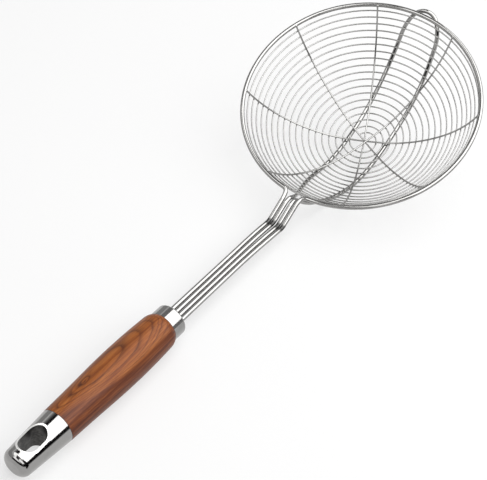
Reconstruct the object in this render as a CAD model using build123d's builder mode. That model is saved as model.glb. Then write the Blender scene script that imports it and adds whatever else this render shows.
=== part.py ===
from build123d import *
from math import acos, asin, atan2, ceil, cos, degrees, hypot, pi, radians, sin, sqrt, tan
import os

os.makedirs("parts", exist_ok=True)

# Driving dimensions: lengths in millimetres, angles in degrees.
# Places on the bowl are given in the bowl's own frame: the rim's centre line lies in its XY plane,
# the wall hangs below it and the handle points along -X.
rim_radius = 80.0
bowl_depth = 53.0
frame_wire = 3.0
mesh_wire = 1.0
rib_wire = 1.2
wire_clearance = 0.03

# The spiral of the mesh, measured along the bowl's wall from its lowest point
mesh_pitch = 5.0
mesh_start = 6.5
mesh_turns = 18.5
mesh_start_bearing = 65.0

# The ribs: whole arcs across the bowl, pressed into one another where they cross
rib_bearings = (22.3, 65.6, 111.1, 160.0)
rib_asides = (0.2, 0.5, 1.1, 2.0)
rib_step = 0.5
rib_flat_angle = 18.0
rib_end_drop = 0.3

# The neck falls away from the rim, kinks and climbs in a slight bow to the handle
neck_start_x, neck_start_z = -87.0, -0.6
neck_drop = 10.0
rim_bend = 4.5
kink_x, kink_z = -104.0, -3.6
kink_bend = 6.5
shaft_climb = 31.0
ferrule_x, ferrule_z = -201.8, 45.2
handle_climb = 25.4
shaft_straight = 57.0
outer_neck_offset = 5.2
outer_shaft_offset = 4.65
inner_neck_offset = 1.9
inner_shaft_offset = 1.55

# The support wire's route under the bowl: x, y, the slope of y along x, and its lift off the mesh
left_leg_route = ((-79.0, 2.3, 0.50, 0.6), (-67.0, 8.0, 0.42, 0.1), (-50.0, 12.6, 0.10, 0.0),
                  (-28.0, 12.2, -0.02, 0.0), (5.0, 12.1, 0.0, 0.0), (45.0, 11.9, -0.02, 0.0),
                  (67.0, 10.9, -0.08, 0.0), (75.0, 9.6, -0.40, 0.0))
right_leg_route = ((-78.5, -3.6, -0.80, 1.7), (-66.0, -8.6, -0.30, 0.9), (-48.0, -12.5, -0.15, 0.3),
                   (-28.0, -14.3, -0.03, 0.0), (5.0, -14.8, -0.02, 0.0), (42.0, -16.5, -0.03, 0.0),
                   (66.0, -16.5, 0.03, 0.0), (75.0, -15.9, 0.35, 0.0))
far_loop_x, far_loop_y, far_loop_z = 84.9, -3.2, -0.8
leg_half_spread = 12.3

# The handle, measured along its axis from the ferrule's front face
ferrule_radius = 10.3
ferrule_length = 9.5
ferrule_wall = 0.8
ferrule_face = 1.0
ferrule_rounding = 1.2
wire_slot_width = 12.4
wire_slot_height = 3.1
wire_depth = 9.0
plug_flange_end = 5.0
plug_boss_radius = 7.5
plug_end = 17.0
rod_radius = 2.5
rod_start = 11.0
rod_end = 102.5
rod_clearance = 0.2
shoulder_station, shoulder_radius = 14.0, 11.75
belly_station, belly_radius = 33.0, 12.45
waist_station, waist_radius = 66.0, 11.9
cap_station = 98.4
cap_radius = 10.65
butt_station = 131.5
butt_radius = 8.4
butt_rounding = 4.6
cap_wall = 0.9
tenon_length = 5.1
pocket_radius = 5.3
pocket_start = 97.0
washer_thickness = 1.0
washer_radius = 5.0
nut_width = 8.0
nut_thickness = 4.0

# The hanging hole
hole_station = 116.3
hole_length = 17.1
hole_width = 11.2
liner_wall = 1.2
lip_width = 1.0
lip_drop = 0.27

# The bowl's wall is a sphere through the rim; the wires lie on it or beside it
dome_radius = (rim_radius**2 + bowl_depth**2) / (2 * bowl_depth)
dome_height = dome_radius - bowl_depth
support_radius = dome_radius + (mesh_wire + frame_wire) / 2 + wire_clearance
rib_radius = dome_radius - (mesh_wire + rib_wire) / 2 - wire_clearance

# At rest the skimmer lies on the support wire's legs and on the belly of the grip.
# Seen from the side both are round, and the floor is the line that touches the two circles.
slope = radians(handle_climb)
touch_radius = sqrt(support_radius**2 - leg_half_spread**2) + frame_wire / 2
grip_belly = ThreePointArc(
    (shoulder_station, shoulder_radius), (belly_station, belly_radius), (waist_station, waist_radius)
)
belly_along, belly_above = grip_belly.arc_center.X, -grip_belly.arc_center.Y
belly_run = ferrule_x - belly_along * cos(slope) + belly_above * sin(slope)
belly_rise = ferrule_z + belly_along * sin(slope) + belly_above * cos(slope) - dome_height
lean = acos((grip_belly.radius - touch_radius) / hypot(belly_run, belly_rise)) + atan2(belly_run, belly_rise)
rim_height = touch_radius - dome_height * cos(lean)

# The origin is on the floor, under the middle of the whole length from the far loop to the butt
far_reach = far_loop_x * cos(lean) - far_loop_z * sin(lean) + frame_wire / 2
butt_x, butt_z = ferrule_x - butt_station * cos(slope), ferrule_z + butt_station * sin(slope)
butt_reach = butt_x * cos(lean) - butt_z * sin(lean)
rim_x = -(far_reach + butt_reach) / 2
bowl = Plane(origin=(rim_x, 0, rim_height), x_dir=(cos(lean), 0, sin(lean)), z_dir=(-sin(lean), 0, cos(lean)))


def at(x, y, z):
    """A place in the bowl's frame, as a point of the whole part."""
    return bowl.from_local_coords(Vector(x, y, z))


def towards(x, y, z):
    """A direction in the bowl's frame, as a direction of the whole part."""
    return (at(x, y, z) - bowl.origin).normalized()


def side_direction(climb):
    """Towards the butt, in the plane of symmetry, at an angle above the rim's plane."""
    return towards(-cos(radians(climb)), 0, sin(radians(climb)))


def biarc(start, leave, end, arrive):
    """Draw two arcs that leave and arrive along given directions and share a tangent where they meet."""
    span = end - start
    spread = 2 * (1 - leave.dot(arrive))
    reach = span.dot(leave + arrive)
    handle = (sqrt(reach**2 + spread * span.dot(span)) - reach) / spread
    first_corner = start + leave * handle
    second_corner = end - arrive * handle
    joint = (first_corner + second_corner) * 0.5
    TangentArc(start, joint, tangent=leave)
    TangentArc(joint, end, tangent=second_corner - first_corner)


def report_wire(name, piece, path, wire):
    """Print a wire's length and tightest bend, and its volume beside its section times its length."""
    length = sum(edge.length for edge in path.edges())
    tightest = min(edge.radius for edge in path.edges().filter_by(GeomType.CIRCLE))
    expected = pi * wire**2 / 4 * length
    volume = piece.part.volume
    print(f"{name}: length {length:.1f}, tightest bend {tightest:.1f}, volume {volume:.1f} of {expected:.1f}")


# Stations of the neck and shaft in the plane of symmetry
neck_start = at(neck_start_x, 0, neck_start_z)
kink = at(kink_x, 0, kink_z)
kink_reach = kink_bend * tan(radians(neck_drop + shaft_climb) / 2)
kink_in = kink - side_direction(-neck_drop) * kink_reach
kink_out = kink + side_direction(shaft_climb) * kink_reach
handle_axis = side_direction(handle_climb)
ferrule_centre = at(ferrule_x, 0, ferrule_z)
bow_end = ferrule_centre - handle_axis * shaft_straight
wire_end = ferrule_centre + handle_axis * wire_depth


def shaft_leg(neck_offset, shaft_offset, neck_point):
    """Draw one wire of the shaft, from its end in the handle to a point of the neck."""
    across_neck = Vector(0, neck_offset, 0)
    across_shaft = Vector(0, shaft_offset, 0)
    down_shaft, along_neck = -side_direction(shaft_climb), -side_direction(-neck_drop)
    Line(wire_end + across_shaft, bow_end + across_shaft)
    biarc(bow_end + across_shaft, -handle_axis, kink_out + across_neck, down_shaft)
    biarc(kink_out + across_neck, down_shaft, kink_in + across_neck, along_neck)
    Line(kink_in + across_neck, neck_point + across_neck)


# Rim wire: the ring, its two tight bends at the neck and the two outer wires of the shaft
def rim_point(bearing):
    return at(rim_radius * cos(radians(bearing)), rim_radius * sin(radians(bearing)), 0)


bend_bearing = degrees(asin((outer_neck_offset + rim_bend) / (rim_radius + rim_bend)))
with BuildPart() as rim_wire:
    with BuildLine() as rim_path:
        for side in (1, -1):
            shaft_leg(side * outer_neck_offset, side * outer_shaft_offset, neck_start)
            end_bearing = side * (180 - bend_bearing)
            ring_end = rim_point(end_bearing)
            ring_heading = towards(-sin(radians(end_bearing)) * side, cos(radians(end_bearing)) * side, 0)
            neck_end = neck_start + Vector(0, side * outer_neck_offset, 0)
            biarc(ring_end, ring_heading, neck_end, side_direction(-neck_drop))
            ThreePointArc(ring_end, rim_point(end_bearing * 3 / 4), rim_point(end_bearing / 2))
            ThreePointArc(rim_point(end_bearing / 2), rim_point(end_bearing / 4), rim_point(0))
    with BuildSketch(Plane(origin=wire_end + Vector(0, outer_shaft_offset, 0), z_dir=-handle_axis)):
        Circle(frame_wire / 2)
    sweep()
report_wire("rim_wire", rim_wire, rim_path, frame_wire)
rim_wire.part.label = "rim_wire"
export_step(rim_wire.part, "parts/rim_wire.step")


# Support wire: a hairpin whose legs cradle the bowl and whose closed end goes round the outside of the rim
def under_bowl(x, y, lift):
    return at(x, y, dome_height - sqrt((support_radius + lift)**2 - x**2 - y**2))


def along_bowl(x, y, slope_in_plan, lift):
    """The direction along the bowl's wall that is (1, slope) seen square to the rim's plane."""
    climb = (x + y * slope_in_plan) / sqrt((support_radius + lift)**2 - x**2 - y**2)
    return towards(1, slope_in_plan, climb)


dive_start = neck_start + side_direction(-neck_drop) * (frame_wire / 2)
with BuildPart() as support_wire:
    with BuildLine() as support_path:
        for side, route in ((1, left_leg_route), (-1, right_leg_route)):
            shaft_leg(side * inner_neck_offset, side * inner_shaft_offset, dive_start)
            place = dive_start + Vector(0, side * inner_neck_offset, 0)
            heading = -side_direction(-neck_drop)
            for x, y, slope_in_plan, lift in route:
                next_place = under_bowl(x, y, lift)
                next_heading = along_bowl(x, y, slope_in_plan, lift)
                biarc(place, heading, next_place, next_heading)
                place, heading = next_place, next_heading
            biarc(place, heading, at(far_loop_x, far_loop_y, far_loop_z), Vector(0, -side, 0))
    with BuildSketch(Plane(origin=wire_end + Vector(0, inner_shaft_offset, 0), z_dir=-handle_axis)):
        Circle(frame_wire / 2)
    sweep()
report_wire("support_wire", support_wire, support_path, frame_wire)
support_wire.part.label = "support_wire"
export_step(support_wire.part, "parts/support_wire.step")


# Spiral wire: one unbroken wire wound from the lowest point to the rim, clockwise seen from inside the bowl
def mesh_point(turns):
    reach = (mesh_start + mesh_pitch * turns) / dome_radius
    bearing = radians(mesh_start_bearing - 360 * turns)
    out = dome_radius * sin(reach)
    return at(out * cos(bearing), out * sin(bearing), dome_height - dome_radius * cos(reach))


def mesh_heading(turns):
    small = 0.00001
    return (mesh_point(turns + small) - mesh_point(turns - small)).normalized()


with BuildPart() as spiral_wire:
    with BuildLine() as mesh_path:
        for quarter in range(ceil(mesh_turns * 4)):
            here, there = quarter / 4, (quarter + 1) / 4
            biarc(mesh_point(here), mesh_heading(here), mesh_point(there), mesh_heading(there))
    with BuildSketch(Plane(origin=mesh_point(0), z_dir=mesh_heading(0))):
        Circle(mesh_wire / 2)
    sweep()
report_wire("spiral_wire", spiral_wire, mesh_path, mesh_wire)
spiral_wire.part.label = "spiral_wire"
export_step(spiral_wire.part, "parts/spiral_wire.step")

# The least gap between neighbouring turns, measured on points along the wire
samples = 72
least_gap = min(
    (mesh_point(step / samples + 1 + drift) - mesh_point(step / samples)).length - mesh_wire
    for step in range(int((mesh_turns - 1) * samples))
    for drift in (-0.05, -0.02, 0, 0.02, 0.05)
)
print(f"spiral_wire: least gap between its turns {least_gap:.2f}")


# Rib wires: arcs inside the mesh from rim to rim, each one flatter in the middle to pass over the last.
# They don't cross in one point: each lies in a plane that passes a little aside of the bowl's centre.
def rib_point(order, angle, rise=0.0):
    """A point of a rib's centre line, at an angle from straight down about the centre of its arc."""
    bearing, aside = radians(rib_bearings[order]), rib_asides[order]
    arc_radius = sqrt(rib_radius**2 - aside**2)
    out = arc_radius * sin(radians(angle))
    x = out * cos(bearing) - aside * sin(bearing)
    y = out * sin(bearing) + aside * cos(bearing)
    return at(x, y, dome_height - arc_radius * cos(radians(angle)) + rise)


def rib_heading(order, angle):
    bearing, out = radians(rib_bearings[order]), cos(radians(angle))
    return towards(out * cos(bearing), out * sin(bearing), sin(radians(angle)))


ribs = []
for order, aside in enumerate(rib_asides):
    end_angle = degrees(acos((dome_height + rib_end_drop) / sqrt(rib_radius**2 - aside**2)))
    side_angle = (end_angle + rib_flat_angle) / 2
    rib_start = rib_point(order, -end_angle)
    middle = rib_point(order, 0, order * rib_step)
    with BuildPart() as rib:
        with BuildLine() as rib_path:
            for side in (-1, 1):
                flat_start = rib_point(order, side * rib_flat_angle)
                flat_heading = rib_heading(order, side * rib_flat_angle) * -side
                rib_end = rib_point(order, side * end_angle)
                ThreePointArc(rib_end, rib_point(order, side * side_angle), flat_start)
                biarc(flat_start, flat_heading, middle, rib_heading(order, 0) * -side)
        with BuildSketch(Plane(origin=rib_start, z_dir=rib_heading(order, -end_angle))):
            Circle(rib_wire / 2)
        sweep()
        with Locations(bowl):
            Torus(rim_radius, frame_wire / 2, mode=Mode.SUBTRACT)
        for earlier in ribs:
            add(earlier.part, mode=Mode.SUBTRACT)
    report_wire(f"rib_wire_{order + 1}", rib, rib_path, rib_wire)
    rib.part.label = f"rib_wire_{order + 1}"
    export_step(rib.part, f"parts/rib_wire_{order + 1}.step")
    ribs.append(rib)


# The handle's pieces are turned about its axis, from profiles of station and radius
handle_up = towards(sin(slope), 0, cos(slope))
turning_plane = Plane(origin=ferrule_centre, x_dir=handle_axis, z_dir=handle_axis.cross(handle_up))
turning_axis = Axis(ferrule_centre, handle_axis)


def cross_section(station):
    """The plane square to the handle at a station, facing the butt, with its X across the handle."""
    return Plane(origin=ferrule_centre + handle_axis * station, x_dir=(0, 1, 0), z_dir=handle_axis)


def disc(start, end, radius, mode=Mode.ADD):
    """A round length of the handle between two stations."""
    with BuildSketch(cross_section(start)) as section:
        Circle(radius)
    extrude(section.sketch, amount=end - start, mode=mode)


def wire_slot(start, end):
    """The opening for the four wires that lie side by side."""
    with BuildSketch(cross_section(start)) as section:
        SlotOverall(wire_slot_width, wire_slot_height)
    extrude(section.sketch, amount=end - start, mode=Mode.SUBTRACT)


# Ferrule: a drawn steel cup with a rounded front edge and a slot for the wires
ferrule_bore = ferrule_radius - ferrule_wall
with BuildPart() as ferrule:
    disc(0, ferrule_length, ferrule_radius)
    fillet(ferrule.edges().filter_by(GeomType.CIRCLE).sort_by(turning_axis)[0], ferrule_rounding)
    disc(ferrule_face, ferrule_length, ferrule_bore, Mode.SUBTRACT)
    wire_slot(0, ferrule_face)
ferrule.part.label = "ferrule"
export_step(ferrule.part, "parts/ferrule.step")

# Wire plug: the steel block in the ferrule, welded to the wire ends and threaded on the rod
with BuildPart() as wire_plug:
    disc(ferrule_face, plug_flange_end, ferrule_bore)
    disc(plug_flange_end, plug_end, plug_boss_radius)
    wire_slot(ferrule_face, wire_depth)
    disc(rod_start, plug_end, rod_radius, Mode.SUBTRACT)
wire_plug.part.label = "wire_plug"
export_step(wire_plug.part, "parts/wire_plug.step")

# Tang rod, washer and nut: they tie the plug to the butt end of the wood
with BuildPart() as tang_rod:
    disc(rod_start, rod_end, rod_radius)
tang_rod.part.label = "tang_rod"
export_step(tang_rod.part, "parts/tang_rod.step")

nut_start = pocket_start + washer_thickness
with BuildPart() as tang_washer:
    disc(pocket_start, nut_start, washer_radius)
    disc(pocket_start, nut_start, rod_radius, Mode.SUBTRACT)
tang_washer.part.label = "tang_washer"
export_step(tang_washer.part, "parts/tang_washer.step")

with BuildPart() as tang_nut:
    with BuildSketch(cross_section(nut_start)):
        RegularPolygon(radius=nut_width / 2, side_count=6, major_radius=False)
        Circle(rod_radius, mode=Mode.SUBTRACT)
    extrude(amount=nut_thickness)
tang_nut.part.label = "tang_nut"
export_step(tang_nut.part, "parts/tang_nut.step")


# End cap: a tapering shell with a rounded butt
def cap_side(station, inset):
    """The radius of the cap's side at a station, drawn in by an inset."""
    taper = (cap_radius - butt_radius) / (butt_station - cap_station)
    return cap_radius - taper * (station - cap_station) - inset


def cap_body(inset, mode=Mode.ADD):
    """The cap as a solid body, drawn in all over by an inset but open to the wood's end."""
    start, end = cap_station, butt_station - inset
    side_start = (start, cap_side(start, inset))
    side_end = (end, cap_side(end, inset))
    with BuildSketch(turning_plane) as profile:
        with BuildLine():
            Polyline((start, 0), side_start, side_end, (end, 0), close=True)
        make_face()
        fillet(profile.vertices().group_by(Axis.X)[-1].sort_by(Axis.Y)[-1], butt_rounding - inset)
    revolve(profile.sketch, axis=turning_axis, mode=mode)


def hole_body(length, width, mode):
    """A straight oval prism through the handle at the hanging hole."""
    centre = ferrule_centre + handle_axis * hole_station
    with BuildSketch(Plane(origin=centre, x_dir=handle_axis, z_dir=handle_up)) as section:
        SlotOverall(length, width)
    extrude(section.sketch, amount=2 * cap_radius, both=True, mode=mode)


with BuildPart() as end_cap:
    cap_body(0)
    cap_body(cap_wall, Mode.SUBTRACT)
    hole_body(hole_length + 2 * liner_wall, hole_width + 2 * liner_wall, Mode.SUBTRACT)
end_cap.part.label = "end_cap"
export_step(end_cap.part, "parts/end_cap.step")

# Hole liner: an oval tube through the cap, flush with it, whose lips dip towards the hole
with BuildPart() as hole_liner:
    cap_body(0)
    hole_body(hole_length + 2 * liner_wall, hole_width + 2 * liner_wall, Mode.INTERSECT)
    hole_body(hole_length, hole_width, Mode.SUBTRACT)
    for end in (0, -1):
        mouth = hole_liner.faces().sort_by(Axis(ferrule_centre, handle_up))[end]
        chamfer(mouth.inner_wires()[0].edges(), length=lip_width, length2=lip_drop, reference=mouth)
hole_liner.part.label = "hole_liner"
export_step(hole_liner.part, "parts/hole_liner.step")

# Wood grip: a turned barrel with a tenon in the ferrule and one in the cap, bored for the plug, rod and nut
tenon_end = cap_station + tenon_length
with BuildPart() as wood_grip:
    with BuildSketch(turning_plane):
        with BuildLine():
            Polyline((plug_flange_end, 0), (plug_flange_end, ferrule_bore), (ferrule_length, ferrule_bore),
                     (ferrule_length, ferrule_radius))
            add(grip_belly)
            TangentArc(grip_belly @ 0, (ferrule_length, ferrule_radius), tangent=-(grip_belly % 0))
            TangentArc(grip_belly @ 1, (cap_station, cap_radius), tangent=grip_belly % 1)
            Polyline((cap_station, cap_radius), (cap_station, cap_side(cap_station, cap_wall)),
                     (tenon_end, cap_side(tenon_end, cap_wall)), (tenon_end, 0), (plug_flange_end, 0))
        make_face()
    revolve(axis=turning_axis)
    disc(plug_flange_end, plug_end, plug_boss_radius, Mode.SUBTRACT)
    disc(plug_end, pocket_start, rod_radius + rod_clearance, Mode.SUBTRACT)
    disc(pocket_start, tenon_end, pocket_radius, Mode.SUBTRACT)
wood_grip.part.label = "wood_grip"
export_step(wood_grip.part, "parts/wood_grip.step")

print(f"lean of the rim {degrees(lean):.3f}, rim centre x {rim_x:.3f} z {rim_height:.3f}")
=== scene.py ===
# %% [markdown]
# # A spider skimmer: steel wires, a turned wooden grip and a polished cap
# The frame that is loaded here holds every solid of the skimmer in its true place, in metres.
# Its wires, ferrule and cap already have the right shape, so they stay and only get finishes.

from math import asin, atan2, cos, degrees, radians, sin

import bmesh
import bpy
from mathutils import Matrix, Vector


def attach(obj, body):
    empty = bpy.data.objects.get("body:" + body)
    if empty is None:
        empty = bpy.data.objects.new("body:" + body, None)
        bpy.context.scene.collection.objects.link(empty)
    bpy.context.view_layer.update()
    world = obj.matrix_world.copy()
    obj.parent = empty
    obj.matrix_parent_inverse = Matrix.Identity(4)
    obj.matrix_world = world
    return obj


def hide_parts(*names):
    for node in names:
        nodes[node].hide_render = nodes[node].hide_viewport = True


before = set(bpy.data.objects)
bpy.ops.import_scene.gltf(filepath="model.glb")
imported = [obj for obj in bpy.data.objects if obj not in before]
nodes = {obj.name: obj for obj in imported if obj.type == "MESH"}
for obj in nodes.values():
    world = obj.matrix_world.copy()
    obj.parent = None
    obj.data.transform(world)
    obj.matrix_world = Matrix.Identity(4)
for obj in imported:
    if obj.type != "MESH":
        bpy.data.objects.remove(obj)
bpy.context.view_layer.update()
print("solids:", len(nodes))

# %% [markdown]
# ## Two frames to measure in
# The bowl is easiest to describe from the middle of its rim, and the handle from the front of its
# ferrule. A matrix for each turns a place written in millimetres there into a place in the scene.
# The two matrices carry the same origin and directions as the solids do.

# %% The bowl's frame and the handle's frame
MM = 0.001
HANDLE_LENGTH = 131.5


def frame_matrix(origin, along, up):
    """Columns: X along, Z up, Y square to both, and the origin in metres."""
    x_axis, z_axis = Vector(along).normalized(), Vector(up).normalized()
    y_axis = z_axis.cross(x_axis)
    turned = Matrix((x_axis, y_axis, z_axis)).transposed().to_4x4()
    return Matrix.Translation(Vector(origin) * MM) @ turned @ Matrix.Scale(MM, 4)


bowl = frame_matrix((127.306, 0, 58.994), (0.902023, 0, 0.431688), (-0.431688, 0, 0.902023))
handle = frame_matrix((-74.2341, 0, 12.651), (-0.999995, 0, -0.00305), (-0.00305, 0, 0.999995))
print("rim's middle:", [round(c, 4) for c in bowl @ Vector((0, 0, 0))])
print("butt of the handle:", [round(c, 4) for c in handle @ Vector((HANDLE_LENGTH, 0, 0))])

# %% [markdown]
# ## The camera
# The photograph looks down on the skimmer from behind the handle's near side, with the bowl far
# away at the upper right. The camera's place and turn were worked out from the rim's ellipse and
# the handle's line. A long lens keeps the bowl round and the handle hardly tapering.

# %% Put an object in the scene
def add_to_scene(name, data):
    """A new object in the scene, made of a camera, a lamp or a mesh."""
    thing = bpy.data.objects.new(name, data)
    bpy.context.scene.collection.objects.link(thing)
    return thing


# %% Camera
CAMERA_PLACE = (-0.41972, -0.24208, 0.47898)
CAMERA_TURN = (46.4616, -5.2294, -54.8722)
SENSOR_WIDTH, LENS_LENGTH = 36, 79.2
NEAREST, FARTHEST = 0.05, 20
camera_data = bpy.data.cameras.new("camera")
camera = add_to_scene("camera", camera_data)
camera.location = CAMERA_PLACE
camera.rotation_euler = [radians(turn) for turn in CAMERA_TURN]
camera_data.sensor_width = SENSOR_WIDTH
camera_data.lens = LENS_LENGTH
camera_data.clip_start, camera_data.clip_end = NEAREST, FARTHEST
bpy.context.scene.camera = camera
print("camera:", tuple(camera.location))

# %% [markdown]
# ## Writing shaders as sums
# Node trees are long when every node is wired by hand. Here a socket is wrapped in a small class
# that understands + - * / and **, so a mask is written as it is thought of: 1 - mask * 0.5.
# One method adds any other node: its type, its settings, and the values or links of its sockets.

# %% A socket that can be calculated with
class Wire:
    """One output socket of a node."""

    def __init__(self, finish, socket):
        self.finish, self.socket = finish, socket

    def maths(self, operation, first, second=None):
        """Add a Math node for one value or two, and return its result."""
        values = {0: first} if second is None else {0: first, 1: second}
        return self.finish.node("ShaderNodeMath", {"operation": operation}, values)[0]

    def __add__(self, other):
        return self.maths("ADD", self, other)

    def __radd__(self, other):
        return self.maths("ADD", other, self)

    def __sub__(self, other):
        return self.maths("SUBTRACT", self, other)

    def __rsub__(self, other):
        return self.maths("SUBTRACT", other, self)

    def __mul__(self, other):
        return self.maths("MULTIPLY", self, other)

    def __rmul__(self, other):
        return self.maths("MULTIPLY", other, self)

    def __truediv__(self, other):
        return self.maths("DIVIDE", self, other)

    def __rtruediv__(self, other):
        return self.maths("DIVIDE", other, self)

    def __pow__(self, other):
        return self.maths("POWER", self, other)

    def __rpow__(self, other):
        return self.maths("POWER", other, self)

    def __neg__(self):
        return self.maths("MULTIPLY", self, -1.0)

    def least(self, other):
        """The smaller of two values."""
        return self.maths("MINIMUM", self, other)

    def most(self, other):
        """The larger of two values."""
        return self.maths("MAXIMUM", self, other)

    def part(self):
        """What a value has after its decimal point."""
        return self.maths("FRACT", self)

    def size(self):
        """A value without its minus sign."""
        return self.maths("ABSOLUTE", self)


print("a wire can:", [name.strip("_") for name in vars(Wire) if callable(vars(Wire)[name])])

# %% A finish that adds nodes
WHITE, BLACK = (1, 1, 1, 1), (0, 0, 0, 1)


class Finish:
    """A node tree of a material or the world, with methods that add nodes to it."""

    def __init__(self, tree):
        self.tree = tree
        tree.nodes.clear()

    def node(self, kind, settings=None, sockets=None):
        """Add a node and return its outputs. The settings come first: some change the sockets."""
        added = self.tree.nodes.new(kind)
        for name, value in (settings or {}).items():
            if name == "stops":
                self.set_stops(added.color_ramp, value)
            else:
                setattr(added, name, value)
        for name, value in (sockets or {}).items():
            if isinstance(value, Wire):
                self.tree.links.new(value.socket, added.inputs[name])
            else:
                added.inputs[name].default_value = value
        return [Wire(self, output) for output in added.outputs]

    def set_stops(self, ramp, stops):
        """Give a new ramp its stops, each a position and a colour or a grey."""
        while len(ramp.elements) < len(stops):
            ramp.elements.new(1.0)
        for element, (position, colour) in zip(ramp.elements, stops):
            element.position = position
            grey = isinstance(colour, float)
            element.color = (colour,) * 3 + (1.0,) if grey else (*colour, 1.0)

    def ramp(self, value, stops):
        """A colour for each value from 0 to 1, or a grey where the stops are plain numbers."""
        return self.node("ShaderNodeValToRGB", {"stops": stops}, {"Fac": value})[0]

    def span(self, value, low, high, to_low=0.0, to_high=1.0):
        """A smooth step from one number to another as a value goes from low to high."""
        limits = {"From Min": low, "From Max": high, "To Min": to_low, "To Max": to_high}
        settings = {"interpolation_type": "SMOOTHSTEP"}
        return self.node("ShaderNodeMapRange", settings, {"Value": value, **limits})[0]

    def mix(self, factor, first, second):
        """A colour between two, where the factor is a number or a mask."""
        colours = [c if isinstance(c, Wire) else (*c, 1.0) for c in (first, second)]
        sockets = {0: factor, 6: colours[0], 7: colours[1]}
        return self.node("ShaderNodeMix", {"data_type": "RGBA"}, sockets)[2]

    def place(self, matrix=None, stretch=(1, 1, 1)):
        """Object coordinates seen from a frame of millimetres, then stretched along its axes."""
        point = self.node("ShaderNodeTexCoord")[3]
        if matrix is not None:
            there = matrix.inverted()
            turn = there.to_3x3().normalized().to_euler()
            sockets = {"Vector": point, "Location": there.translation, "Rotation": turn}
            point = self.node("ShaderNodeMapping", None, {**sockets, "Scale": (1 / MM,) * 3})[0]
        if tuple(stretch) != (1, 1, 1):
            sockets = {"Vector": point, "Scale": stretch}
            point = self.node("ShaderNodeMapping", None, sockets)[0]
        return point

    def parts(self, point):
        """The three numbers of a point."""
        return self.node("ShaderNodeSeparateXYZ", None, {0: point})

    def noise(self, point, scale, detail=2.0, roughness=0.5, distortion=0.0):
        """Fractal noise from 0 to 1 at a point."""
        values = {"Vector": point, "Scale": scale, "Detail": detail, "Roughness": roughness}
        return self.node("ShaderNodeTexNoise", None, {**values, "Distortion": distortion})[0]

    def bump(self, height, strength, distance):
        """A normal that leans as the height does. The distance is in metres."""
        values = {"Height": height, "Strength": strength, "Distance": distance}
        return self.node("ShaderNodeBump", None, values)[0]

    def light(self, strength, colour=WHITE):
        """A shader that gives light of its own and reflects none."""
        return self.node("ShaderNodeEmission", None, {"Color": colour, "Strength": strength})[0]

    def output(self, shader):
        """Join a shader to the material's output."""
        self.node("ShaderNodeOutputMaterial", None, {"Surface": shader})

    def surface(self, sockets):
        """The Principled shader, joined to the material's output."""
        self.output(self.node("ShaderNodeBsdfPrincipled", None, sockets)[0])


def new_material(name):
    """A new material, and the finish that adds nodes to it."""
    material = bpy.data.materials.new(name)
    material.use_nodes = True
    return material, Finish(material.node_tree)


print("a finish can:", [name for name in vars(Finish) if not name.startswith("_")])

# %% [markdown]
# ## A pale floor
# The floor is matt and pale. It catches the faint shadow, and a glow of its own, for the camera and
# for reflections only, lifts it to the white of the background. Little of the lamps' light reaches
# its far parts, so the glow grows with the distance. The air round it is white to the same rays and
# much dimmer as a light, so that the object isn't lit flat.

# %% What the background shows to
SEEN_RAYS = ("Is Camera Ray", "Is Glossy Ray", "Is Transmission Ray")


def seen_ray(finish):
    """1 for rays that show the background: straight from the camera, reflected or through glass."""
    outputs = {wire.socket.name: wire for wire in finish.node("ShaderNodeLightPath")}
    camera_ray, glossy_ray, through_ray = [outputs[name] for name in SEEN_RAYS]
    return camera_ray.most(glossy_ray).most(through_ray)


print("the background shows to:", SEEN_RAYS)


# %% Make an object of a mesh
def make_object(name, shape, *materials):
    """Turn a bmesh into an object in the scene, with its materials in order."""
    mesh = bpy.data.meshes.new(name)
    shape.to_mesh(mesh)
    shape.free()
    for material in materials:
        mesh.materials.append(material)
    print(name, "has", len(mesh.polygons), "faces")
    return add_to_scene(name, mesh)


# %% Floor
FLOOR_SIZE = 6.0
FLOOR_ALBEDO = 0.42
FLOOR_GLOW, FAR_GLOW, FAR_START, FAR_END = 0.58, 0.86, 0.7, 3.2
floor_material, floor_finish = new_material("pale_floor")
matt_colour = (FLOOR_ALBEDO,) * 3 + (1,)
matt = floor_finish.node("ShaderNodeBsdfDiffuse", None, {"Color": matt_colour})[0]
measured = {0: floor_finish.place()}
distance = floor_finish.node("ShaderNodeVectorMath", {"operation": "LENGTH"}, measured)[1]
glow_level = floor_finish.span(distance, FAR_START, FAR_END, FLOOR_GLOW, FAR_GLOW)
glow = floor_finish.light(seen_ray(floor_finish) * glow_level)
floor_finish.output(floor_finish.node("ShaderNodeAddShader", None, {0: matt, 1: glow})[0])

sheet = bmesh.new()
bmesh.ops.create_grid(sheet, x_segments=1, y_segments=1, size=FLOOR_SIZE)
make_object("floor", sheet, floor_material)

# %% World
AMBIENT = 0.34
world = bpy.data.worlds.new("studio")
bpy.context.scene.world = world
world.use_nodes = True
sky = Finish(world.node_tree)
level = AMBIENT + seen_ray(sky) * (1 - AMBIENT)
air = sky.node("ShaderNodeBackground", None, {"Color": WHITE, "Strength": level})[0]
sky.node("ShaderNodeOutputWorld", None, {"Surface": air})
print("light of the air:", AMBIENT)

# %% [markdown]
# ## Soft studio light, and what the steel reflects
# A large soft box hangs over the near side of the table. Steel shows the room round it, so the room
# is built for its reflections: the box is a screen of glowing cloth in black felt, and the felt
# gives its long white reflection crisp dark edges, as in a product studio. Two pale cards, a felt
# that grows paler towards its far end, grey walls and a bright band behind the camera give the
# wires their light cores, and a low black flag gives the butt its dark edge. All of these are seen
# by reflections only. A lamp in one plane with the cloth hides half of it, so the two lamps hang
# 10 mm in front.

# %% The plane of the soft box
BOX_TILT = 27.4
BOX_DISTANCE = 1.1
LAMP_GAP = 0.01
box_turn = Matrix.Rotation(radians(BOX_TILT), 4, "X")


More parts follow.
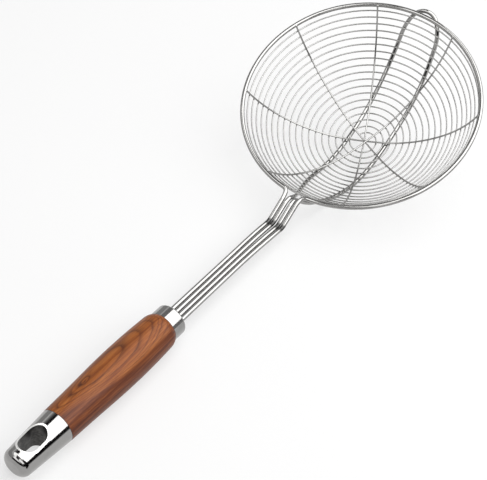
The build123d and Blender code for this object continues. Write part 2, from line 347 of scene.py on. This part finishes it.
def box_plane(x, y):
    """A matrix on the plane of the soft box, which looks down at the handle from the near side."""
    return Matrix.Translation((x, 0, 0)) @ box_turn @ Matrix.Translation((0, y, BOX_DISTANCE))


def hang_lamp(name, start, end, low, high, power):
    """An oblong lamp just in front of the plane, from start to end and from low to high."""
    lamp = bpy.data.lights.new(name, "AREA")
    lamp.shape = "RECTANGLE"
    lamp.size, lamp.size_y = end - start, high - low
    lamp.energy = power
    hung = add_to_scene(name, lamp)
    in_front = Matrix.Translation((0, 0, -LAMP_GAP))
    hung.matrix_world = box_plane((start + end) / 2, (low + high) / 2) @ in_front
    hung.visible_camera = False
    print(name, "is", round(lamp.size, 2), "by", round(lamp.size_y, 2), "m")
    return hung


# %% Soft box
BOX_START, BOX_END = -0.55, 1.5
BOX_LOW, BOX_HIGH = -0.84, 0.92
BOX_POWER = 18.5
hang_lamp("soft_box", BOX_START, BOX_END, BOX_LOW, BOX_HIGH, BOX_POWER)

# %% Felt with two pale cards and a paler far end and side
WALL_LEVEL = 0.5
FADE_FAR, FADE_SIDE, SIDE_LEVEL = (1.5, 3.3), (0.4, 0.9), 0.36
CARDS = ((-1.6, -0.72, -0.8, 0.3), (-1.9, -1.05, 0.95, 3.0))
CARD_EDGE, CARD_LEVEL = 0.1, 2.6
felt_material, felt_finish = new_material("studio_felt")
sideways, depth, height = felt_finish.parts(felt_finish.place())
slope = depth * cos(radians(BOX_TILT)) + height * sin(radians(BOX_TILT))


def between(value, low, high):
    """1 from low to high, with soft edges inside them, and 0 elsewhere."""
    rising = felt_finish.span(value, low, low + CARD_EDGE)
    return rising * felt_finish.span(-value, -high, CARD_EDGE - high)


felt_level = felt_finish.span(slope, *FADE_FAR) * WALL_LEVEL
felt_level = felt_level.most(felt_finish.span(sideways, *FADE_SIDE) * SIDE_LEVEL)
for start, end, low, high in CARDS:
    card = between(sideways, start, end) * between(slope, low, high)
    felt_level = felt_level.most(card * CARD_LEVEL)
felt_finish.output(felt_finish.light(felt_level))
print("cards on the felt:", len(CARDS))


# %% The screen of the soft box: glowing cloth with the felt round it
def only_reflected(card):
    """Make an object of the studio show in reflections and nowhere else."""
    card.visible_camera = False
    card.visible_diffuse = False
    card.visible_shadow = False
    card.visible_transmission = False


SCREEN_LEVEL = 2.1
FELT_START, FELT_END, FELT_LOW, FELT_HIGH = -1.8, 2.2, -1.8, 4.2
UNIT_SQUARE, ANY_INSET = 0.5, 0.2
cloth_material, cloth_finish = new_material("glowing_cloth")
cloth_finish.output(cloth_finish.light(SCREEN_LEVEL))
screen = bmesh.new()
bmesh.ops.create_grid(screen, x_segments=1, y_segments=1, size=UNIT_SQUARE)
cloth = screen.faces[:]
bmesh.ops.inset_individual(screen, faces=cloth, thickness=ANY_INSET)
for vert in screen.verts:
    inside = vert in cloth[0].verts
    x_ends = (BOX_START, BOX_END) if inside else (FELT_START, FELT_END)
    y_ends = (BOX_LOW, BOX_HIGH) if inside else (FELT_LOW, FELT_HIGH)
    vert.co = (x_ends[vert.co.x > 0], y_ends[vert.co.y > 0], 0)
cloth[0].material_index = 1
bmesh.ops.transform(screen, matrix=box_plane(0, 0), verts=screen.verts)
only_reflected(make_object("studio_screen", screen, felt_material, cloth_material))

# %% Grey walls, and a side behind the camera that is dark below and bright above
WALL_RADIUS, WALL_HEIGHT, WALL_SIDES = 2.6, 1.6, 48
BACK_BEARINGS, BACK_HEIGHT = (150, 235), 2.6
BACK_FADE, BACK_LEVEL = (0.85, 1.15), 2.6
walls_material, walls_finish = new_material("grey_walls")
walls_finish.output(walls_finish.light(WALL_LEVEL))
back_material, back_finish = new_material("side_behind_the_camera")
wall_height = back_finish.parts(back_finish.place())[2]
back_level = back_finish.span(wall_height, *BACK_FADE) * BACK_LEVEL
back_finish.output(back_finish.light(back_level))
walls = bmesh.new()
bmesh.ops.create_circle(walls, segments=WALL_SIDES, radius=WALL_RADIUS)
raised = bmesh.ops.extrude_edge_only(walls, edges=walls.edges[:])["geom"]
for vert in raised:
    if isinstance(vert, bmesh.types.BMVert):
        vert.co.z = WALL_HEIGHT
for face in walls.faces:
    side = face.calc_center_median()
    bearing = degrees(atan2(side.y, side.x)) % 360
    if BACK_BEARINGS[0] < bearing < BACK_BEARINGS[1]:
        face.material_index = 1
        for vert in face.verts:
            if vert.co.z > 0:
                vert.co.z = BACK_HEIGHT
only_reflected(make_object("studio_walls", walls, walls_material, back_material))

# %% A low black flag on the near side
FLAG_PLACE, FLAG_BEARING = (-0.19, -0.146, 0.06), 200.0
FLAG_WIDTH, FLAG_HEIGHT = 0.2, 0.12
flag_material, flag_finish = new_material("black_flag")
flag_finish.output(flag_finish.light(1.0, BLACK))
flag = bmesh.new()
bmesh.ops.create_grid(flag, x_segments=1, y_segments=1, size=UNIT_SQUARE)
upright = Matrix.Rotation(radians(90), 4, "Y") @ Matrix.Diagonal((FLAG_HEIGHT, FLAG_WIDTH, 1, 1))
facing = Matrix.Rotation(radians(FLAG_BEARING), 4, "Z")
stand = Matrix.Translation(FLAG_PLACE) @ facing @ upright
bmesh.ops.transform(flag, matrix=stand, verts=flag.verts)
only_reflected(make_object("black_flag", flag, flag_material))

# %% Strip light
STRIP_START, STRIP_END, STRIP_LOW, STRIP_HIGH = -1.1, -0.14, 1.0, 3.0
STRIP_POWER = 18.0
strip = hang_lamp("strip_light", STRIP_START, STRIP_END, STRIP_LOW, STRIP_HIGH, STRIP_POWER)
strip.visible_diffuse = False

# %% [markdown]
# ## Bright steel
# Polished steel has no colour of its own to speak of: it shows the room. What tells it from chrome
# in a drawing are its flaws, so three of them are mixed in. Drawing and polishing leave hairlines
# along the metal, handling leaves soft smudges that dull it a little, and the sheet is never quite
# even. The hairlines are noise stretched along the handle, and all three are kept very faint. Where
# the neck's wires bend, a ragged band of near-black painted shade lies across them, a little
# rougher.

# %% The steel's flaws, and the painted shade at the neck's bend
STEEL = (0.33, 0.326, 0.319)
SMUDGE_NOISE, SMUDGE_EDGE, SMUDGE_DEPTH = (0.09, 3.0, 0.55), (0.45, 0.75), 0.12
HAIRLINE_NOISE, HAIRLINE_STRETCH, HAIRLINE_STRENGTH = (5.0, 3.0, 0.6), (0.02, 1, 1), 0.3
UNEVEN = 0.5
# A ragged band of painted shade across the neck's wires where they bend: near black, and a little
# rougher.
KINK_X, KINK_SHADE_EDGE, KINK_SHADE_RAGGED = -104.6, (1.4, 3.8), 2
KINK_SHADE_COLOUR, KINK_SHADE_DEPTH, KINK_SHADE_ROUGHER = (0.02, 0.02, 0.02), 0.88, 0.08


def shaded(colour, share):
    """A colour made darker or paler by a factor."""
    return [channel * share for channel in colour]


def steel(name, colour, rough, hairlines, kink_shaded=False):
    """A steel finish: its colour, its roughness and how deep its hairlines are, in metres."""
    material, finish = new_material(name)
    cloud = finish.noise(finish.place(handle), *SMUDGE_NOISE)
    lines = finish.noise(finish.place(handle, HAIRLINE_STRETCH), *HAIRLINE_NOISE)
    dull = finish.span(cloud, *SMUDGE_EDGE)
    tint = finish.mix(dull, colour, shaded(colour, 1 - SMUDGE_DEPTH))
    roughness = rough + (dull + lines - 0.5) * (rough * UNEVEN)
    # Painted shade: a near-black band across the wires at the neck's bend.
    if kink_shaded:
        from_kink = (finish.parts(finish.place(bowl))[0] - KINK_X).size()
        kink_shade = finish.span(from_kink + (lines - 0.5) * KINK_SHADE_RAGGED, *KINK_SHADE_EDGE, 1.0, 0.0)
        tint = finish.mix(kink_shade * KINK_SHADE_DEPTH, tint, KINK_SHADE_COLOUR)
        roughness = roughness + kink_shade * KINK_SHADE_ROUGHER
    finish.surface({
        "Base Color": tint, "Metallic": 1.0, "Roughness": roughness,
        "Normal": finish.bump(lines, HAIRLINE_STRENGTH, hairlines),
    })
    print(name, "is rough by", rough)
    return material


# %% The four steels
MESH_SHADE, TURNED_SHADE = 1.08, 0.95
mesh_colour, turned_colour = shaded(STEEL, MESH_SHADE), shaded(STEEL, TURNED_SHADE)
polished = steel("polished_steel_finish", STEEL, rough=0.10, hairlines=0.000004)
# The drawn wires carry the painted shade at the neck's bend.
drawn = steel("drawn_wire_finish", STEEL, rough=0.10, hairlines=0.00001, kink_shaded=True)
mesh_steel = steel("mesh_wire_finish", mesh_colour, rough=0.13, hairlines=0.00001)
plain = steel("turned_steel_finish", turned_colour, rough=0.40, hairlines=0.00003)

# %% [markdown]
# ## The liner of the hanging hole
# The hole in the cap is lined with a pressed tube. Its lip is painted far paler than the cap's
# steel, a painted highlight, and its bore nearly black in patches, a painted shade; the lip is the
# rougher.
# A second material would need the tube's faces sorted, so one finish tells lip from bore by how far
# a point lies from the middle line of the oval: the oval is that line thickened all round, and the
# distance to it is one short sum.

# %% A painted highlight on the lip, round a bore of painted shade
HOLE_STATION, HOLE_LENGTH, HOLE_WIDTH = 116.3, 17.1, 11.2
# Painted highlight: the lip's colour is far paler than the cap's own steel.
LIP_START, LIP_END, LIP_HIGHLIGHT_COLOUR, LIP_ROUGHER = 0.02, 0.12, (0.86, 0.855, 0.84), 0.12
BORE_NOISE, BORE_ROUGHNESS = (0.6, 3.0), 0.30
# Painted shade: the bore's colours are nearly black.
BORE_SHADE_STOPS = ((0.3, (0.03, 0.029, 0.028)), (0.7, (0.09, 0.087, 0.083)))
lined_hole, hole_finish = new_material("hole_liner_highlight_and_shade")
station, across = hole_finish.parts(hole_finish.place(handle))[:2]
past_middle = ((station - HOLE_STATION).size() - (HOLE_LENGTH - HOLE_WIDTH) / 2).most(0.0)
from_middle = (past_middle ** 2 + across ** 2) ** 0.5
lip = hole_finish.span(from_middle, HOLE_WIDTH / 2 + LIP_START, HOLE_WIDTH / 2 + LIP_END)
patches = hole_finish.noise(hole_finish.place(handle), *BORE_NOISE)
bore_shade_colour = hole_finish.ramp(patches, BORE_SHADE_STOPS)
hole_finish.surface({
    "Base Color": hole_finish.mix(lip, bore_shade_colour, LIP_HIGHLIGHT_COLOUR), "Metallic": 1.0,
    "Roughness": BORE_ROUGHNESS + lip * LIP_ROUGHER,
})
print("the lip starts", HOLE_WIDTH / 2 + LIP_START, "mm from the hole's middle line")

# %% Give the steel pieces their finishes
FINISHES = {
    drawn: ("rim_wire", "support_wire"),
    mesh_steel: ("rib_wire_1", "rib_wire_2", "rib_wire_3", "rib_wire_4", "spiral_wire"),
    polished: ("ferrule", "end_cap"),
    lined_hole: ("hole_liner",),
    plain: ("wire_plug", "tang_rod", "tang_washer", "tang_nut"),
}
for material, names in FINISHES.items():
    for name in names:
        nodes[name].data.materials[0] = material
    print(material.name, "on", ", ".join(names))

# %% [markdown]
# ## The spiral of the mesh
# The mesh of a spider skimmer is a single wire, wound from the middle of the bowl out to the rim.
# Each turn is pressed to the bowl's round form, so the wire lies on a sphere, and the distance to
# the next turn stays the same along the wall. A curve with a round bevel is the natural tool: only
# the line down the wire's middle has to be described, and Blender puts the skin round it. The curve
# is then turned into a mesh, so that it exports and takes a finish as the other pieces do.

# %% Where the spiral goes
RIM_RADIUS, BOWL_DEPTH = 80.0, 53.0
MESH_WIRE, MESH_PITCH, MESH_START, MESH_TURNS, MESH_BEARING = 1.0, 5.0, 6.5, 18.5, 65.0
DOME_RADIUS = (RIM_RADIUS**2 + BOWL_DEPTH**2) / (2 * BOWL_DEPTH)
DOME_HEIGHT = DOME_RADIUS - BOWL_DEPTH


def spiral_point(turns):
    """A point of the wire's middle line, in the bowl's millimetres, after some turns."""
    reach = (MESH_START + MESH_PITCH * turns) / DOME_RADIUS
    bearing = radians(MESH_BEARING - 360 * turns)
    out = DOME_RADIUS * sin(reach)
    return Vector((out * cos(bearing), out * sin(bearing), DOME_HEIGHT - DOME_RADIUS * cos(reach)))


print("spiral from", [round(c, 1) for c in spiral_point(0)])
print("to", [round(c, 1) for c in spiral_point(MESH_TURNS)])

# %% The line of the spiral, with a round bevel
TURN_POINTS, BEVEL_STEPS = 96, 2
line = bpy.data.curves.new("spiral_line", "CURVE")
line.dimensions = "3D"
line.bevel_depth = MESH_WIRE / 2
line.bevel_resolution = BEVEL_STEPS
line.use_fill_caps = True
spline = line.splines.new("POLY")
spline.points.add(round(MESH_TURNS * TURN_POINTS))
for step, point in enumerate(spline.points):
    point.co = (*spiral_point(step / TURN_POINTS), 1)
line_object = bpy.data.objects.new("spiral_line", line)
spiral_mesh = bpy.data.meshes.new_from_object(line_object)
bpy.data.objects.remove(line_object)
bpy.data.curves.remove(line)
print("points on the line:", round(MESH_TURNS * TURN_POINTS) + 1)

# %% The spiral wire
wire = bmesh.new()
wire.from_mesh(spiral_mesh)
bpy.data.meshes.remove(spiral_mesh)
bmesh.ops.transform(wire, matrix=bowl, verts=wire.verts)
bmesh.ops.recalc_face_normals(wire, faces=wire.faces)
for face in wire.faces:
    face.smooth = True
print("spiral's volume in mm3:", round(wire.calc_volume() / MM**3))
spiral = make_object("spiral", wire, mesh_steel)
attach(spiral, "root")
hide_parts("spiral_wire")

# %% [markdown]
# ## Spot welds
# The mesh holds together because each turn of the spiral is spot-welded to every rib, and the ribs
# to the rim. A weld squeezes the two wires into one another and leaves a small flat nugget between
# them. There are about a hundred and fifty, so each nugget is a low sphere of a few dozen faces,
# squashed along the wall and laid at the place where the two wires cross.

# %% Where the spiral crosses the ribs
RIB_BEARINGS = (22.3, 65.6, 111.1, 160.0)
RIB_ASIDES = (0.2, 0.5, 1.1, 2.0)
APPROACHES = 3


def rib_ends():
    """Bearing and distance aside for each half of each rib, as each passes beside the middle."""
    for bearing, aside in zip(RIB_BEARINGS, RIB_ASIDES):
        yield bearing, aside
        yield bearing + 180, -aside


def rib_crossings():
    """Turns of the spiral at which it crosses a rib, found closer with each approach."""
    for bearing, aside in rib_ends():
        for lap in range(-1, round(MESH_TURNS) + 2):
            turns = lap + (MESH_BEARING - bearing) / 360
            for approach in range(APPROACHES):
                out = Vector(spiral_point(max(turns, 0))[:2]).length
                turns = lap + (MESH_BEARING - bearing - degrees(asin(aside / out))) / 360
            if 0 < turns < MESH_TURNS:
                yield turns


crossings = list(rib_crossings())
print("welds of the spiral to the ribs:", len(crossings))

# %% One nugget
NUGGET_SIDES, NUGGET_RINGS = 8, 5
dome_middle = Vector((0, 0, DOME_HEIGHT))
weld = bmesh.new()


def add_nugget(place, lift, width, height):
    """One squashed sphere, flat along the wall and lifted off it. Sizes are in millimetres."""
    inward = (dome_middle - place).normalized()
    lay = inward.to_track_quat("Z", "Y").to_matrix().to_4x4()
    squash = Matrix.Diagonal((width, width, height, 1))
    bmesh.ops.create_uvsphere(
        weld, u_segments=NUGGET_SIDES, v_segments=NUGGET_RINGS, radius=1,
        matrix=bowl @ Matrix.Translation(place + inward * lift) @ lay @ squash,
    )


print("faces of a nugget:", NUGGET_SIDES * NUGGET_RINGS)

# %% The welds of the spiral and of the rim
WIRE_GAP = 0.03
CROSSING_WIDTH, CROSSING_HEIGHT = 0.62, 0.34
RIM_WIDTH, RIM_HEIGHT = 1.15, 0.7
INSIDE_RIM, ABOVE_RIM = 1.2, 0.2
for turns in crossings:
    add_nugget(spiral_point(turns), (MESH_WIRE + WIRE_GAP) / 2, CROSSING_WIDTH, CROSSING_HEIGHT)
for bearing, aside in rib_ends():
    angle = radians(bearing) + asin(aside / RIM_RADIUS)
    rim_contact = Vector((cos(angle), sin(angle), 0)) * (RIM_RADIUS - INSIDE_RIM)
    add_nugget(rim_contact + Vector((0, 0, ABOVE_RIM)), 0, RIM_WIDTH, RIM_HEIGHT)
for face in weld.faces:
    face.smooth = True
spot_welds = make_object("spot_welds", weld, mesh_steel)
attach(spot_welds, "root")

# %% [markdown]
# ## The turned hardwood of the grip
# A plank shows nested arches where a saw or a lathe cuts across its growth rings at a slant. The
# rings here are tubes round a pith that lies below the grip, and each is wider towards the ferrule,
# so the turned surface cuts them into arches that point at the ferrule on top and run out into
# straight streaks down the sides. The arches' distances apart are stops of a colour ramp, because
# years differ. A small swelling of the rings near the butt makes the eye of a knot.

# %% Where a point of the wood lies, and the noises drawn out along the grip
WOOD_START, WOOD_END = 9.5, 98.4
PITH_ACROSS, PITH_ABOVE = 4.8, -19.4
TOP_HALF = (0, 5)
GRAIN = {  # how far it is drawn out, then its scale, detail, roughness and distortion
    "sway": (0.3, 0.16, 2.0, 0.5, 0.0),
    "ripple": (0.25, 0.9, 3.0, 0.6, 0.0),
    "fine": (0.035, 3.2, 4.0, 0.65, 0.0),
    "streak": (0.025, 0.55, 3.0, 0.6, 0.3),
    "mottle": (0.3, 0.16, 3.0, 0.5, 0.0),
    "pores": (0.05, 5.5, 2.0, 0.5, 0.0),
}
wood_material, wood = new_material("oiled_hardwood_finish")
along, across, above = wood.parts(wood.place(handle))
from_pith = ((across - PITH_ACROSS) ** 2 + (above - PITH_ABOVE) ** 2) ** 0.5
on_top = wood.span(above, *TOP_HALF)


def grain(name):
    """One of the wood's noises."""
    stretch, *values = GRAIN[name]
    return wood.noise(wood.place(handle, (stretch, 1, 1)), *values)


sway, ripple, fine, streak, mottle = map(grain, ("sway", "ripple", "fine", "streak", "mottle"))
print("wood of", round(WOOD_END - WOOD_START, 1), "mm, with", len(GRAIN), "noises")

# %% The knot
KNOT_STATION, KNOT_ASIDE = 75.0, -3.2
KNOT_LENGTH, KNOT_WIDTH, KNOT_EDGE = 6.5, 2.6, 1.5
knot = ((along - KNOT_STATION) / KNOT_LENGTH) ** 2 + ((across - KNOT_ASIDE) / KNOT_WIDTH) ** 2
swelling = wood.span(knot, 0.0, KNOT_EDGE, 1.0, 0.0) * on_top
print("knot", round(WOOD_END - KNOT_STATION, 1), "mm from the cap")

# %% The rings of the wood
TOP_DISTANCE = 32.0
STEEPNESS, BEND_START, BEND = 8.3, 25.0, 0.0088
SWAY, RIPPLE, KNOT_RISE = 7, 3, 13
RAMP_LENGTH, RAMP_YEARS = 100, 10
SIDE_YEARS, SIDE_POWER = 0.35, 0.6
RING_STOPS = (
    (0.0, 0.0), (0.075, 0.1), (0.21, 0.2), (0.39, 0.3),
    (0.61, 0.4), (0.69, 0.5), (0.86, 0.6), (1.0, 0.66),
)
steepness = STEEPNESS + (along - BEND_START).most(0.0) ** 2 * BEND
reach = (along - WOOD_START) - (TOP_DISTANCE - from_pith) * steepness
reach = reach + (sway - 0.5) * SWAY + (ripple - 0.5) * RIPPLE + swelling * KNOT_RISE
year = wood.ramp(reach / RAMP_LENGTH, RING_STOPS) * RAMP_YEARS
year = year - (-reach.least(0.0)) ** SIDE_POWER * SIDE_YEARS
season = year.part()
arches = [round(stop * RAMP_LENGTH + WOOD_START, 1) for stop, ring in RING_STOPS[1:-1]]
print("arches along the top at", arches)

# %% [markdown]
# ## The colours of the wood
# Oiled hardwood is a warm brown on top, where the paler sapwood shows, and a deeper red down the
# sides, which is partly the heartwood's own tone and partly painted shade. Each year ends in a thin
# dark line of late wood, which fades in places. Pores are short dark dashes, and the knot has a
# nearly black heart. The colours are laid over one another in that order, as stains would be, and
# last comes a dark band at each end of the wood, where it meets the steel.

# %% The ground: heartwood darkened with painted shade, sapwood and fine fibres
STREAK_STOPS = (0.36, 0.5, 0.64)
# The tones down the sides are partly the heartwood's own and partly painted shade.
HEARTWOOD_AND_SHADE = ((0.088, 0.020, 0.006), (0.17, 0.043, 0.013), (0.27, 0.080, 0.024))
SAPWOOD = ((0.25, 0.062, 0.010), (0.37, 0.105, 0.017), (0.46, 0.15, 0.030))
SAPWOOD_EDGE = (-48, 2)
FIBRE_EDGE, FIBRE_DEPTH, FIBRE_COLOUR = (0.42, 0.68), 0.38, (0.13, 0.031, 0.008)
heartwood_and_shade = wood.ramp(streak, tuple(zip(STREAK_STOPS, HEARTWOOD_AND_SHADE)))
sapwood = wood.ramp(streak, tuple(zip(STREAK_STOPS, SAPWOOD)))
# Partly painted shade: the ground darkens to the heartwood tones down the sides, away from the top.
ground = wood.mix(wood.span(reach, *SAPWOOD_EDGE), heartwood_and_shade, sapwood)
ground = wood.mix(wood.span(fine, *FIBRE_EDGE) * FIBRE_DEPTH, ground, FIBRE_COLOUR)
print("tones of the ground:", len(HEARTWOOD_AND_SHADE) + len(SAPWOOD))

# %% The lines between the years
LATE_POWER, LATE_LEVEL, EARLY_POWER = 3.2, 0.9, 14
FADE_EDGE, FADED = (0.3, 0.6), 0.55
SIDE_EDGE, SIDE_FADED = (-28, -2), 0.35
LINE_DEPTH, LINE_COLOUR = 0.9, (0.066, 0.014, 0.004)
late_wood = (season ** LATE_POWER) * LATE_LEVEL + (1 - season) ** EARLY_POWER
strength = wood.span(mottle, *FADE_EDGE, FADED, 1.0)
strength = strength * wood.span(reach, *SIDE_EDGE, SIDE_FADED, 1.0)
lined = wood.mix((late_wood * strength).least(1.0) * LINE_DEPTH, ground, LINE_COLOUR)
print("colour of the lines:", LINE_COLOUR)

# %% The knot's heart, the pores and a dark band at the seams
HEART_EDGE, HEART_DEPTH, HEART_COLOUR = 0.35, 0.85, (0.045, 0.012, 0.006)
RIPPLE_EDGE = (0.4, 0.6)
PORE_EDGE, PORE_DEPTH, PORE_COLOUR = (0.63, 0.72), 0.45, (0.08, 0.024, 0.012)
FRONT_SEAM, BACK_SEAM, SEAM_DEPTH, SEAM_COLOUR = 0.8, 0.6, 0.8, (0.02, 0.008, 0.005)
heart = wood.span(knot, 0.0, HEART_EDGE, 1.0, 0.0) * on_top * wood.span(ripple, *RIPPLE_EDGE)
lined = wood.mix(heart * HEART_DEPTH, lined, HEART_COLOUR)
pores = wood.span(grain("pores"), *PORE_EDGE)
lined = wood.mix(pores * PORE_DEPTH, lined, PORE_COLOUR)
# A near-black band at each end of the wood, where it meets the steel.
seam = wood.span(along, WOOD_START, WOOD_START + FRONT_SEAM, 1.0, 0.0)
seam = seam.most(wood.span(along, WOOD_END - BACK_SEAM, WOOD_END))
colour = wood.mix(seam * SEAM_DEPTH, lined, SEAM_COLOUR)
print("seams at", WOOD_START, "and", WOOD_END, "mm")

# %% The wood's gloss and relief
GLOSS, FIBRE_ROUGHER, PORE_ROUGHER, SHEEN = 0.36, 0.12, 0.15, 0.26
FIBRE_RISE, LINE_SINK, PORE_SINK = 0.5, 0.3, 0.6
RELIEF_STRENGTH, RELIEF_DEPTH = 0.25, 0.00008
relief = fine * FIBRE_RISE - late_wood * LINE_SINK - pores * PORE_SINK
wood.surface({
    "Base Color": colour, "Specular IOR Level": SHEEN,
    "Roughness": GLOSS + fine * FIBRE_ROUGHER + pores * PORE_ROUGHER,
    "Normal": wood.bump(relief, RELIEF_STRENGTH, RELIEF_DEPTH),
})
nodes["wood_grip"].data.materials[0] = wood_material
print("nodes of the wood's finish:", len(wood.tree.nodes))

# %% [markdown]
# ## Finish
# The standard view shows each colour as it was written.

# %% Show each colour as written, and update the scene
bpy.context.scene.view_settings.view_transform = "Standard"
bpy.context.view_layer.update()
